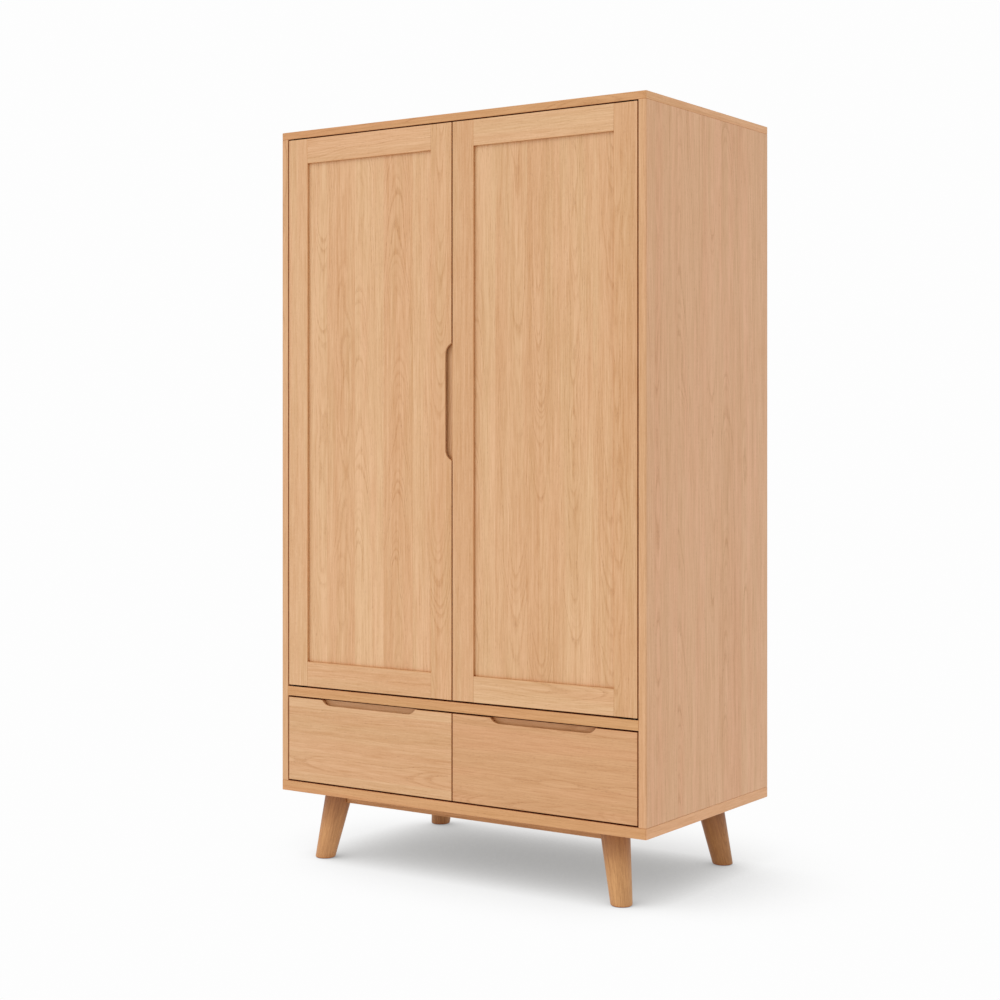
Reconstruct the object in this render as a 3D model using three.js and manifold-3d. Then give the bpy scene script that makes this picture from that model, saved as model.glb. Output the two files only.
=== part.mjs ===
// Two-door oak armoire: a hanging compartment with a hat shelf behind frame-and-panel doors, two drawers
// side by side below it, and four splayed, tapered legs.
//
// Units are millimetres.  +X is right, +Y is back and +Z is up, seen from the front.  The origin is on the
// floor, under the middle of the case.

import * as THREE from "three";
import { mergeVertices } from "three/addons/utils/BufferGeometryUtils.js";
import Module from "manifold-3d";

const wasm = await Module();
wasm.setup();

// ---------------------------------------------------------------------------------------------------------
// Driving dimensions

// Case
const WIDTH = 1048;
const DEPTH = 600;
const TOP_T = 18;
const BOTTOM_T = 25;
const SIDE_T = 20;
const MID_T = 23;
const DIVIDER_T = 18;
const BACK_T = 6;
const REBATE = 8; // step round the back edge of the case that the back panel sits in
const CORNER_R = 4; // rounding of the case's four upright edges
const CLEARANCE = 0.3; // play round every piece that is let into another

// Doors and drawer fronts
const GAP = 3; // reveal beside and over the doors, and beside the drawer fronts
const LEVEL_GAP = 4; // reveal under the doors, and over and under the drawer fronts
const FRONT_T = 22;
const DOOR_H = 1358;
const DRAWER_FRONT_H = 205;
const STILE_W = 60;
const RAIL_W = 61;
const PANEL_T = 8;
const PANEL_RECESS = 6; // from the face of the frame to the face of the panel
const GROOVE = 9; // depth of the groove that holds the panel
const TONGUE_H = RAIL_W - GROOVE; // height of a rail's tongue, which leaves room for the panel's corner
const OVERCUT = 1; // how far a cutting shape stands out of the piece it cuts

// Finger pulls, routed from the front into the edge of a door or drawer front
const PULL_DEPTH = 11; // from the front face to the back wall of the pull
const PULL_LIP = 5; // thickness of the lip that the fingers hook behind
const PULL_UNDERCUT = 9; // how far the slot runs in behind the lip
const SLOT_SETBACK = 0.2; // share of an end's sweep that the slot stops short of it
const DOOR_PULL_L = 277;
const DOOR_PULL_W = 18;
const DOOR_PULL_RUN = 26; // length of each sweeping end of the door's pull
const DOOR_PULL_RISE = 22; // height of the pull's middle above the middle of the door
const DRAWER_PULL_L = 286;
const DRAWER_PULL_W = 13;
const DRAWER_PULL_RUN = 26;

// Pivot hinges
const PIVOT_INSET = 12; // from the inner face of the case's side to the pin
const PIVOT_SETBACK = 7; // from the front face to the pin
const PIN_R = 2.5;
const PIN_REACH = 10; // how far the pin stands into the door
const PIN_ROOM = 2; // free hole beyond the pin's end
const COLLAR_R = 4;
const LEAF_T = 2.5;
const LEAF_OUTER = 5; // leaf on the outer side of the pin
const LEAF_INNER = 40; // leaf on the inner side of the pin
const LEAF_FRONT = 4; // leaf in front of the pin
const LEAF_BACK = 10; // leaf behind the pin

// Inside the hanging compartment
const SHELF_T = 18;
const SHELF_BELOW_TOP = 220; // free height above the hat shelf
const SHELF_SETBACK = 60;
const RAIL_BELOW_SHELF = 50; // from the shelf's underside to the middle of the hanging rail
const RAIL_TUBE_H = 30;
const RAIL_TUBE_D = 15;
const RAIL_TUBE_WALL = 1.5;
const SOCKET_PLATE_T = 3;
const SOCKET_REACH = 15; // from the case's side to the end of the cup
const SOCKET_WALL = 2.5;
const SOCKET_FLANGE = 8; // how far the plate stands out round the cup
const CATCH_W = 60;
const CATCH_H = 14;
const CATCH_D = 14;
const CATCH_PLAY = 0.5; // between the catch and the strike plates of the shut doors
const STRIKE_T = 1.5;
const STRIKE_W = 26;
const STRIKE_H = 12;
const STRIKE_INSET = 9; // from the door's free edge to the plate

// Drawer boxes and their runners
const BOX_L = 500; // from the back of the front to the back of the box
const BOX_H = 160;
const BOX_RISE = 12; // from the bottom of the front to the bottom of the box
const BOX_T = 12;
const BOX_GROOVE = 6;
const BOX_FLOOR_T = 6;
const BOX_FLOOR_RISE = 8; // from the bottom of the sides to the underside of the floor
const RUNNER_SPACE = 13; // between the drawer's side and the wall beside it
const RUNNER_L = 480;
const RUNNER_SETBACK = 24; // from the front face to the runner's front end
const RUNNER_RISE = 83; // from the floor of the drawer bay to the middle of the runners
const RUNNER_WALL = 1.2;
const RUNNER_FIXED_H = 36;
const RUNNER_FIXED_W = 9.5;
const RUNNER_MOVING_H = 27;
const RUNNER_MOVING_W = 9;

// Legs and base rails
const LEG_HEIGHT = 167;
const LEG_INSET_X = 125; // from the side of the case to the middle of the leg's top
const LEG_INSET_Y = 76; // from the front or back of the case to the middle of the leg's top
const SPLAY_X = 30; // how far the foot stands outwards of the leg's top
const SPLAY_Y = 21;
const LEG_TOP_R = 34.6;
const LEG_FOOT_R = 24.8;
const FOOT_ROUND = 4;
const PLATE_R = 27;
const PLATE_T = 3;
const STUD_R = 4;
const STUD_L = 34;
const STUD_ROOM = 2; // free bore beyond the stud's end
const BASE_RAIL_T = 18;
const BASE_RAIL_H = 27;

// Fineness of the round stretches
const TURNED_SIDES = 32;
const PIN_SIDES = 20;
const ARC_STEPS = 4;
const PULL_STEPS = 10;

// ---------------------------------------------------------------------------------------------------------
// Levels and faces that follow from the dimensions

const INNER_X = WIDTH / 2 - SIDE_T;
const FRONT_Y = -DEPTH / 2;
const BACK_Y = DEPTH / 2 - REBATE; // front face of the back panel
const CASE_Z = LEG_HEIGHT;
const DRAWER_BAY_Z = CASE_Z + BOTTOM_T;
const MID_Z = DRAWER_BAY_Z + LEVEL_GAP + DRAWER_FRONT_H + LEVEL_GAP;
const DOOR_BAY_Z = MID_Z + MID_T;
const TOP_Z = DOOR_BAY_Z + LEVEL_GAP + DOOR_H + GAP;
const FRONT_W = (2 * INNER_X - 3 * GAP) / 2;
const SHELF_Z = TOP_Z - SHELF_BELOW_TOP - SHELF_T;
const HANG_Z = SHELF_Z - RAIL_BELOW_SHELF;
const PIVOT_X = INNER_X - PIVOT_INSET;
const PIVOT_Y = FRONT_Y + PIVOT_SETBACK;
const SIDES = [["left", -1], ["right", 1]];

// ---------------------------------------------------------------------------------------------------------
// Finishes

const OAK = { color: 0xdbae83, roughness: 0.55, metalness: 0 };
const LEG_OAK = { color: 0xbe8c5f, roughness: 0.5, metalness: 0 };
const DRAWER_OAK = { color: 0xe0bb94, roughness: 0.6, metalness: 0 };
const PLYWOOD = { color: 0xdcbd98, roughness: 0.7, metalness: 0 };
const STEEL = { color: 0xb4b6b8, roughness: 0.35, metalness: 1 };
const BRONZED_STEEL = { color: 0x4d4035, roughness: 0.45, metalness: 1 };
const CATCH_PLASTIC = { color: 0x6b5a48, roughness: 0.5, metalness: 0 };

// ---------------------------------------------------------------------------------------------------------
// Shapes

/** A box between two corners, given as pairs of limits in any order. */
function box(x0, x1, y0, y1, z0, z1) {
  const geometry = new THREE.BoxGeometry(Math.abs(x1 - x0), Math.abs(y1 - y0), Math.abs(z1 - z0));
  geometry.translate((x0 + x1) / 2, (y0 + y1) / 2, (z0 + z1) / 2);
  return geometry;
}

/** An upright cylinder on the Z axis. */
function upright(radius, z0, z1) {
  const geometry = new THREE.CylinderGeometry(radius, radius, Math.abs(z1 - z0), PIN_SIDES);
  geometry.rotateX(Math.PI / 2);
  geometry.translate(0, 0, (z0 + z1) / 2);
  return geometry;
}

/** A shape in the XZ plane, extruded along Y. */
function alongY(shape, y0, y1) {
  const geometry = new THREE.ExtrudeGeometry(shape, {
    depth: y1 - y0,
    bevelEnabled: false,
    curveSegments: PULL_STEPS,
  });
  geometry.rotateX(Math.PI / 2);
  geometry.translate(0, y1, 0);
  return geometry;
}

/** A turned shape on the Z axis, from [radius, height] points that start and end on the axis. */
function turned(points) {
  const profile = points.map(([radius, height]) => new THREE.Vector2(radius, height));
  const geometry = new THREE.LatheGeometry(profile, TURNED_SIDES);
  geometry.rotateX(Math.PI / 2);
  return geometry;
}

/** A closed mesh as a solid that can be joined and cut. */
function solid(geometry) {
  const bare = geometry.clone();
  bare.deleteAttribute("normal");
  bare.deleteAttribute("uv");
  const merged = mergeVertices(bare);
  const mesh = new wasm.Mesh({
    numProp: 3,
    vertProperties: new Float32Array(merged.attributes.position.array),
    triVerts: new Uint32Array(merged.index.array),
  });
  return new wasm.Manifold(mesh);
}

/** The geometry of a solid, with a flat normal on each face. */
function surface(manifold) {
  const { vertProperties, triVerts } = manifold.getMesh();
  const indexed = new THREE.BufferGeometry();
  indexed.setAttribute("position", new THREE.BufferAttribute(vertProperties, 3));
  indexed.setIndex(new THREE.BufferAttribute(triVerts, 1));
  const geometry = indexed.toNonIndexed();
  geometry.computeVertexNormals();
  return geometry;
}

/** The first geometry with all the others cut out of it. */
function carve(body, ...tools) {
  return surface(tools.reduce((rest, tool) => rest.subtract(solid(tool)), solid(body)));
}

/** All the geometries joined into one. */
function fuse(...pieces) {
  return surface(pieces.map(solid).reduce((whole, piece) => whole.add(piece)));
}

/** A named mesh with its own material, added to a group. */
function place(group, name, geometry, finish) {
  const mesh = new THREE.Mesh(geometry, new THREE.MeshStandardMaterial(finish));
  mesh.name = name;
  group.add(mesh);
  return mesh;
}

// ---------------------------------------------------------------------------------------------------------
// Case

/** The case's footprint, with rounded corners, as a column over its whole height. */
function footprintColumn() {
  const x = WIDTH / 2 - CORNER_R;
  const y = DEPTH / 2 - CORNER_R;
  const shape = new THREE.Shape();
  shape.absarc(x, y, CORNER_R, 0, Math.PI / 2);
  shape.absarc(-x, y, CORNER_R, Math.PI / 2, Math.PI);
  shape.absarc(-x, -y, CORNER_R, Math.PI, 1.5 * Math.PI);
  shape.absarc(x, -y, CORNER_R, 1.5 * Math.PI, 2 * Math.PI);
  const height = TOP_Z + TOP_T - CASE_Z;
  const column = new THREE.ExtrudeGeometry(shape, {
    depth: height,
    bevelEnabled: false,
    curveSegments: ARC_STEPS,
  });
  column.translate(0, 0, CASE_Z);
  return column;
}

const FOOTPRINT = solid(footprintColumn());
const BACK_REBATE = box(
  -INNER_X - REBATE, INNER_X + REBATE,
  BACK_Y, DEPTH,
  DRAWER_BAY_Z - REBATE, TOP_Z + REBATE,
);

/** One outer board of the case: a slice of the footprint column, less the rebate for the back panel. */
function caseBoard(x0, x1, z0, z1, tools = []) {
  const slice = FOOTPRINT.intersect(solid(box(x0, x1, -DEPTH, DEPTH, z0, z1)));
  return carve(surface(slice), BACK_REBATE, ...tools);
}

/** The left and right pockets for the hinge plates, let into a board's face at height z. */
function hingePockets(z, direction) {
  return SIDES.map(([, side]) => box(
    side * (PIVOT_X + LEAF_OUTER + CLEARANCE), side * (PIVOT_X - LEAF_INNER - CLEARANCE),
    PIVOT_Y - LEAF_FRONT - CLEARANCE, PIVOT_Y + LEAF_BACK + CLEARANCE,
    z + direction, z - direction * (LEAF_T + CLEARANCE),
  ));
}

function addCase(group) {
  const half = WIDTH / 2;
  const top = caseBoard(-half, half, TOP_Z, TOP_Z + TOP_T, hingePockets(TOP_Z, -1));
  place(group, "top_panel", top, OAK);
  place(group, "bottom_panel", caseBoard(-half, half, CASE_Z, DRAWER_BAY_Z), OAK);
  for (const [name, side] of SIDES) {
    const board = caseBoard(side * INNER_X, side * half, DRAWER_BAY_Z, TOP_Z);
    place(group, `${name}_side_panel`, board, OAK);
  }
  const mid = box(-INNER_X, INNER_X, FRONT_Y, BACK_Y, MID_Z, DOOR_BAY_Z);
  place(group, "mid_panel", carve(mid, ...hingePockets(DOOR_BAY_Z, 1)), OAK);

  const dividerFront = FRONT_Y + FRONT_T + GAP;
  const divider = box(-DIVIDER_T / 2, DIVIDER_T / 2, dividerFront, BACK_Y, DRAWER_BAY_Z, MID_Z);
  place(group, "drawer_divider", divider, OAK);

  const reach = REBATE - CLEARANCE;
  const back = box(
    -INNER_X - reach, INNER_X + reach,
    BACK_Y, BACK_Y + BACK_T,
    DRAWER_BAY_Z - reach, TOP_Z + reach,
  );
  place(group, "back_panel", back, PLYWOOD);

  const shelfFront = FRONT_Y + SHELF_SETBACK;
  const shelf = box(-INNER_X, INNER_X, shelfFront, BACK_Y, SHELF_Z, SHELF_Z + SHELF_T);
  place(group, "hat_shelf", shelf, OAK);
}

// ---------------------------------------------------------------------------------------------------------
// Hanging rail and its sockets

/** An upright oval in the YZ plane, extruded along X. */
function ovalBar(height, depth, x0, x1) {
  const straight = (height - depth) / 2;
  const shape = new THREE.Shape();
  shape.absarc(straight, 0, depth / 2, -Math.PI / 2, Math.PI / 2);
  shape.absarc(-straight, 0, depth / 2, Math.PI / 2, 1.5 * Math.PI);
  const geometry = new THREE.ExtrudeGeometry(shape, {
    depth: Math.abs(x1 - x0),
    bevelEnabled: false,
    curveSegments: PULL_STEPS,
  });
  geometry.rotateY(Math.PI / 2);
  geometry.translate(Math.min(x0, x1), 0, HANG_Z);
  return geometry;
}

/** A flange on the case's side with a cup, open at the top, that the rail's end drops into. */
function railSocket(side) {
  const wall = side * INNER_X;
  const plate = side * (INNER_X - SOCKET_PLATE_T);
  const end = side * (INNER_X - SOCKET_REACH);
  const outerH = RAIL_TUBE_H + 2 * (SOCKET_WALL + CLEARANCE);
  const outerD = RAIL_TUBE_D + 2 * (SOCKET_WALL + CLEARANCE);
  const flange = ovalBar(outerH + 2 * SOCKET_FLANGE, outerD + 2 * SOCKET_FLANGE, wall, plate);
  const cup = ovalBar(outerH, outerD, wall, end);
  const holeH = RAIL_TUBE_H + 2 * CLEARANCE;
  const holeD = RAIL_TUBE_D + 2 * CLEARANCE;
  const hole = ovalBar(holeH, holeD, plate, side * (INNER_X - 2 * SOCKET_REACH));
  const mouth = box(
    plate, side * (INNER_X - 2 * SOCKET_REACH),
    -holeD / 2, holeD / 2,
    HANG_Z, HANG_Z + outerH,
  );
  return carve(fuse(flange, cup), hole, mouth);
}

function addHangingRail(group) {
  const end = INNER_X - SOCKET_PLATE_T - CLEARANCE;
  const outside = ovalBar(RAIL_TUBE_H, RAIL_TUBE_D, -end, end);
  const inside = ovalBar(
    RAIL_TUBE_H - 2 * RAIL_TUBE_WALL, RAIL_TUBE_D - 2 * RAIL_TUBE_WALL,
    -end - OVERCUT, end + OVERCUT,
  );
  place(group, "hanging_rail", carve(outside, inside), STEEL);
  for (const [name, side] of SIDES) {
    place(group, `rail_socket_${name}`, railSocket(side), STEEL);
  }
}

// ---------------------------------------------------------------------------------------------------------
// Finger pulls

/**
 * The mouth of a finger pull, for an edge that faces +Z at z = 0 and a front face at y = 0.  It runs along
 * X, and each end sweeps from the edge down to the full width in a curve.
 */
function pullMouth(length, width, run) {
  const half = length / 2;
  const shape = new THREE.Shape();
  shape.moveTo(-half, OVERCUT);
  shape.lineTo(-half, 0);
  shape.bezierCurveTo(-half + 0.2 * run, -0.5 * width, -half + 0.45 * run, -width, -half + run, -width);
  shape.lineTo(half - run, -width);
  shape.bezierCurveTo(half - 0.45 * run, -width, half - 0.2 * run, -0.5 * width, half, 0);
  shape.lineTo(half, OVERCUT);
  return alongY(shape, -OVERCUT, PULL_DEPTH);
}

/** The slot behind a pull's lip, in the same frame as its mouth. */
function pullSlot(length, width, run) {
  const half = length / 2 - SLOT_SETBACK * run;
  const bottom = -width - PULL_UNDERCUT;
  const shape = new THREE.Shape();
  shape.moveTo(-half, OVERCUT);
  shape.lineTo(-half, bottom + PULL_UNDERCUT);
  shape.quadraticCurveTo(-half, bottom, -half + PULL_UNDERCUT, bottom);
  shape.lineTo(half - PULL_UNDERCUT, bottom);
  shape.quadraticCurveTo(half, bottom, half, bottom + PULL_UNDERCUT);
  shape.lineTo(half, OVERCUT);
  return alongY(shape, PULL_LIP, PULL_DEPTH);
}

// ---------------------------------------------------------------------------------------------------------
// Doors

/**
 * One door, in a group whose origin is on the hinge axis at the door's bottom edge.  Distances u run from
 * the door's hinged edge towards its free edge.
 */
function addDoor(root, name, side) {
  const door = new THREE.Group();
  door.position.set(side * PIVOT_X, PIVOT_Y, DOOR_BAY_Z + LEVEL_GAP);
  root.add(door);

  const x = (u) => -side * (u - (PIVOT_INSET - GAP));
  const front = -PIVOT_SETBACK;
  const back = front + FRONT_T;
  const panelFront = front + PANEL_RECESS;
  const panelBack = panelFront + PANEL_T;
  const freeStile = FRONT_W - STILE_W;

  const board = (u0, u1, z0, z1) => box(x(u0), x(u1), front, back, z0, z1);
  const groove = (u0, u1, z0, z1) => box(
    x(u0), x(u1), panelFront - CLEARANCE, panelBack + CLEARANCE, z0, z1,
  );
  const tongue = (u0, u1, z0, z1) => box(x(u0), x(u1), panelFront, panelBack, z0, z1);

  // Outer stile, with a pocket for a hinge leaf and a hole for the pin at each end
  const outerTools = [groove(STILE_W - GROOVE, STILE_W + OVERCUT, -OVERCUT, DOOR_H + OVERCUT)];
  for (const [end, into] of [[0, 1], [DOOR_H, -1]]) {
    const leafBed = end + into * (LEAF_T + CLEARANCE);
    outerTools.push(box(
      side * (LEAF_OUTER + CLEARANCE), -side * (LEAF_INNER + CLEARANCE),
      -LEAF_FRONT - CLEARANCE, LEAF_BACK + CLEARANCE,
      end - into * OVERCUT, leafBed,
    ));
    outerTools.push(upright(PIN_R + 2 * CLEARANCE, end, end + into * (PIN_REACH + PIN_ROOM)));
  }
  place(door, `${name}_door_outer_stile`, carve(board(0, STILE_W, 0, DOOR_H), ...outerTools), OAK);

  // Inner stile.  The left door has the whole finger pull; the right door's edge has only the slot, which
  // its lip hides.
  const pullZ = DOOR_H / 2 + DOOR_PULL_RISE;
  const width = side < 0 ? DOOR_PULL_W : 0;
  const pullTools = [pullSlot(DOOR_PULL_L, width, DOOR_PULL_RUN)];
  if (side < 0) {
    pullTools.push(pullMouth(DOOR_PULL_L, DOOR_PULL_W, DOOR_PULL_RUN));
  }
  for (const tool of pullTools) {
    tool.rotateY(-side * Math.PI / 2);
    tool.translate(x(FRONT_W), front, pullZ);
  }
  const innerStile = carve(
    board(freeStile, FRONT_W, 0, DOOR_H),
    groove(freeStile - OVERCUT, freeStile + GROOVE, -OVERCUT, DOOR_H + OVERCUT),
    ...pullTools,
  );
  place(door, `${name}_door_inner_stile`, innerStile, OAK);

  // Rails, with a tongue at each end that fills the stile's groove
  const reach = GROOVE - CLEARANCE;
  for (const [level, low, grooveLow, tongueLow] of [
    ["bottom", 0, RAIL_W - GROOVE, 0],
    ["top", DOOR_H - RAIL_W, DOOR_H - RAIL_W - OVERCUT, DOOR_H - TONGUE_H],
  ]) {
    const rail = carve(
      board(STILE_W, freeStile, low, low + RAIL_W),
      groove(STILE_W - OVERCUT, freeStile + OVERCUT, grooveLow, grooveLow + GROOVE + OVERCUT),
    );
    const whole = fuse(
      rail,
      tongue(STILE_W - reach, STILE_W + OVERCUT, tongueLow, tongueLow + TONGUE_H),
      tongue(freeStile - OVERCUT, freeStile + reach, tongueLow, tongueLow + TONGUE_H),
    );
    place(door, `${name}_door_${level}_rail`, whole, OAK);
  }

  const edge = RAIL_W - reach;
  const panel = tongue(STILE_W - reach, freeStile + reach, edge, DOOR_H - edge);
  place(door, `${name}_door_panel`, panel, OAK);

  addHingeLeaves(door, name, side);
  const strikeU = FRONT_W - STRIKE_W - STRIKE_INSET;
  const strikeZ = DOOR_H - STRIKE_H - GAP;
  const strike = box(
    x(strikeU), x(strikeU + STRIKE_W), back, back + STRIKE_T, strikeZ, strikeZ + STRIKE_H,
  );
  place(door, `${name}_door_strike_plate`, strike, BRONZED_STEEL);
}

// ---------------------------------------------------------------------------------------------------------
// Pivot hinges

/** The leaves in the top and bottom edges of a door, each with a hole that the pin turns in. */
function addHingeLeaves(door, name, side) {
  for (const [level, z0] of [["bottom", 0], ["top", DOOR_H - LEAF_T]]) {
    const leaf = box(
      side * LEAF_OUTER, -side * LEAF_INNER, -LEAF_FRONT, LEAF_BACK, z0, z0 + LEAF_T,
    );
    const hole = upright(PIN_R + CLEARANCE, z0 - OVERCUT, z0 + LEAF_T + OVERCUT);
    place(door, `${name}_${level}_hinge_leaf`, carve(leaf, hole), BRONZED_STEEL);
  }
}

/** The fixed plates, each with a collar in the reveal and a pin that stands into the door. */
function addPivots(group) {
  const levels = [["bottom", DOOR_BAY_Z, 1, LEVEL_GAP], ["top", TOP_Z, -1, GAP]];
  for (const [name, side] of SIDES) {
    for (const [level, z, direction, reveal] of levels) {
      const plate = box(
        side * LEAF_OUTER, -side * LEAF_INNER, -LEAF_FRONT, LEAF_BACK, 0, -direction * LEAF_T,
      );
      const collar = upright(COLLAR_R, -direction * (LEAF_T / 2), direction * (reveal - CLEARANCE));
      const pin = upright(PIN_R, 0, direction * (reveal + PIN_REACH));
      const pivot = place(group, `${name}_${level}_pivot`, fuse(plate, collar, pin), BRONZED_STEEL);
      pivot.position.set(side * PIVOT_X, PIVOT_Y, z);
    }
  }
}

/** The double magnetic catch under the top panel, which holds both doors shut. */
function addCatch(group) {
  const y = FRONT_Y + FRONT_T + STRIKE_T + CATCH_PLAY;
  const body = box(-CATCH_W / 2, CATCH_W / 2, y, y + CATCH_D, TOP_Z - CATCH_H, TOP_Z);
  place(group, "door_catch", body, CATCH_PLASTIC);
}

// ---------------------------------------------------------------------------------------------------------
// Drawers

/**
 * One drawer, in a group whose origin is at the middle of the front's lower edge, in its front face.  The
 * box is set to one side of the front's middle, because the front covers the case's divider.
 */
function addDrawer(root, name, side) {
  const drawer = new THREE.Group();
  const frontX = (GAP + FRONT_W) / 2;
  const bayX = (INNER_X + DIVIDER_T / 2) / 2;
  drawer.position.set(side * frontX, FRONT_Y, DRAWER_BAY_Z + LEVEL_GAP);
  root.add(drawer);

  const middle = side * (bayX - frontX);
  const outerHalf = (INNER_X - DIVIDER_T / 2) / 2 - RUNNER_SPACE;
  const innerHalf = outerHalf - BOX_T;
  const boxBack = FRONT_T + BOX_L;
  const boxTop = BOX_RISE + BOX_H;
  const floorZ = BOX_RISE + BOX_FLOOR_RISE;
  const floorTop = floorZ + BOX_FLOOR_T;
  const floorReach = innerHalf + BOX_GROOVE - CLEARANCE;
  const floorGroove = box(
    middle - innerHalf - BOX_GROOVE, middle + innerHalf + BOX_GROOVE,
    FRONT_T - BOX_GROOVE, boxBack + OVERCUT,
    floorZ - CLEARANCE, floorTop + CLEARANCE,
  );

  const blank = box(-FRONT_W / 2, FRONT_W / 2, 0, FRONT_T, 0, DRAWER_FRONT_H);
  const mouth = pullMouth(DRAWER_PULL_L, DRAWER_PULL_W, DRAWER_PULL_RUN);
  const slot = pullSlot(DRAWER_PULL_L, DRAWER_PULL_W, DRAWER_PULL_RUN);
  mouth.translate(0, 0, DRAWER_FRONT_H);
  slot.translate(0, 0, DRAWER_FRONT_H);
  place(drawer, `${name}_drawer_front`, carve(blank, mouth, slot, floorGroove), OAK);

  for (const [wall, edge] of SIDES) {
    const board = box(
      middle + edge * innerHalf, middle + edge * outerHalf, FRONT_T, boxBack, BOX_RISE, boxTop,
    );
    place(drawer, `${name}_drawer_${wall}_side`, carve(board, floorGroove), DRAWER_OAK);
  }
  const backBoard = box(
    middle - innerHalf, middle + innerHalf, boxBack - BOX_T, boxBack, floorTop, boxTop,
  );
  place(drawer, `${name}_drawer_back`, backBoard, DRAWER_OAK);
  const floor = box(
    middle - floorReach, middle + floorReach,
    FRONT_T - BOX_GROOVE + CLEARANCE, boxBack,
    floorZ, floorTop,
  );
  place(drawer, `${name}_drawer_bottom`, floor, PLYWOOD);
}

/** A channel in the XZ plane with its web on x = 0, open towards +X or -X, extruded along Y. */
function channel(width, height, direction) {
  const half = height / 2;
  const far = direction * width;
  const near = direction * RUNNER_WALL;
  const inner = half - RUNNER_WALL;
  const shape = new THREE.Shape();
  shape.moveTo(0, -half);
  shape.lineTo(far, -half);
  shape.lineTo(far, -inner);
  shape.lineTo(near, -inner);
  shape.lineTo(near, inner);
  shape.lineTo(far, inner);
  shape.lineTo(far, half);
  shape.lineTo(0, half);
  return alongY(shape, FRONT_Y + RUNNER_SETBACK, FRONT_Y + RUNNER_SETBACK + RUNNER_L);
}

/** The telescopic runners: on each side of each drawer, a fixed channel and a moving one inside it. */
function addRunners(group) {
  const z = DRAWER_BAY_Z + RUNNER_RISE;
  for (const [name, side] of SIDES) {
    const walls = [
      ["outer", side * INNER_X, -side],
      ["inner", side * DIVIDER_T / 2, side],
    ];
    for (const [position, wallX, inwards] of walls) {
      const fixed = channel(RUNNER_FIXED_W, RUNNER_FIXED_H, inwards);
      const fixedMesh = place(group, `${name}_${position}_runner_fixed`, fixed, STEEL);
      fixedMesh.position.set(wallX, 0, z);
      const moving = channel(RUNNER_MOVING_W, RUNNER_MOVING_H, -inwards);
      const movingMesh = place(group, `${name}_${position}_runner_moving`, moving, STEEL);
      movingMesh.position.set(wallX + inwards * RUNNER_SPACE, 0, z);
    }
  }
}

// ---------------------------------------------------------------------------------------------------------
// Legs and base rails

/** The leg, turned upright under its top's middle, with a blind bore for the plate's stud. */
function uprightLeg() {
  const points = [[0, -LEG_HEIGHT]];
  for (let step = 0; step <= ARC_STEPS; step += 1) {
    const angle = (step / ARC_STEPS) * (Math.PI / 2);
    points.push([
      LEG_FOOT_R - FOOT_ROUND * (1 - Math.sin(angle)),
      -LEG_HEIGHT + FOOT_ROUND * (1 - Math.cos(angle)),
    ]);
  }
  const bore = STUD_R + CLEARANCE;
  const boreEnd = -PLATE_T - STUD_L - STUD_ROOM;
  points.push([LEG_TOP_R, -PLATE_T], [bore, -PLATE_T], [bore, boreEnd], [0, boreEnd]);
  return turned(points);
}

/** The round steel plate on top of a leg, with the stud that the leg is screwed onto. */
function uprightPlate() {
  return turned([
    [0, -PLATE_T - STUD_L],
    [STUD_R, -PLATE_T - STUD_L],
    [STUD_R, -PLATE_T],
    [PLATE_R, -PLATE_T],
    [PLATE_R, 0],
    [0, 0],
  ]);
}

/** Legs and plates slant outwards to every corner; the slant keeps their level faces level. */
function addLegs(group) {
  for (const [front, sideY] of [["front", -1], ["back", 1]]) {
    for (const [name, sideX] of SIDES) {
      const slant = new THREE.Matrix4().makeShear(
        0, 0, 0, 0, (-sideX * SPLAY_X) / LEG_HEIGHT, (-sideY * SPLAY_Y) / LEG_HEIGHT,
      );
      const top = new THREE.Vector3(
        sideX * (WIDTH / 2 - LEG_INSET_X), sideY * (DEPTH / 2 - LEG_INSET_Y), LEG_HEIGHT,
      );
      const pieces = [["leg", uprightLeg(), LEG_OAK], ["leg_plate", uprightPlate(), STEEL]];
      for (const [piece, geometry, finish] of pieces) {
        geometry.applyMatrix4(slant);
        place(group, `${front}_${name}_${piece}`, geometry, finish).position.copy(top);
      }
    }
  }
}

/** The two rails under the case that run from leg to leg, with their ends cut along the legs' slant. */
function addBaseRails(group) {
  const end = WIDTH / 2 - LEG_INSET_X - LEG_TOP_R - CLEARANCE;
  const slant = (BASE_RAIL_H / LEG_HEIGHT) * (SPLAY_X + LEG_TOP_R - LEG_FOOT_R);
  const shape = new THREE.Shape();
  shape.moveTo(-end - slant, CASE_Z - BASE_RAIL_H);
  shape.lineTo(end + slant, CASE_Z - BASE_RAIL_H);
  shape.lineTo(end, CASE_Z);
  shape.lineTo(-end, CASE_Z);
  for (const [name, sideY] of [["front", -1], ["back", 1]]) {
    const y = sideY * (DEPTH / 2 - LEG_INSET_Y);
    const rail = alongY(shape, y - BASE_RAIL_T / 2, y + BASE_RAIL_T / 2);
    place(group, `${name}_base_rail`, rail, LEG_OAK);
  }
}

// ---------------------------------------------------------------------------------------------------------
// The whole armoire

const armoire = new THREE.Group();
addCase(armoire);
addHangingRail(armoire);
addPivots(armoire);
addCatch(armoire);
for (const [name, side] of SIDES) {
  addDoor(armoire, name, side);
  addDrawer(armoire, name, side);
}
addRunners(armoire);
addLegs(armoire);
addBaseRails(armoire);

export default armoire;
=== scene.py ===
"""Oak armoire: two framed doors over two drawers in a plain case on four turned, splayed legs."""

import math

import bmesh
import bpy
from mathutils import Matrix, Vector


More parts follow.
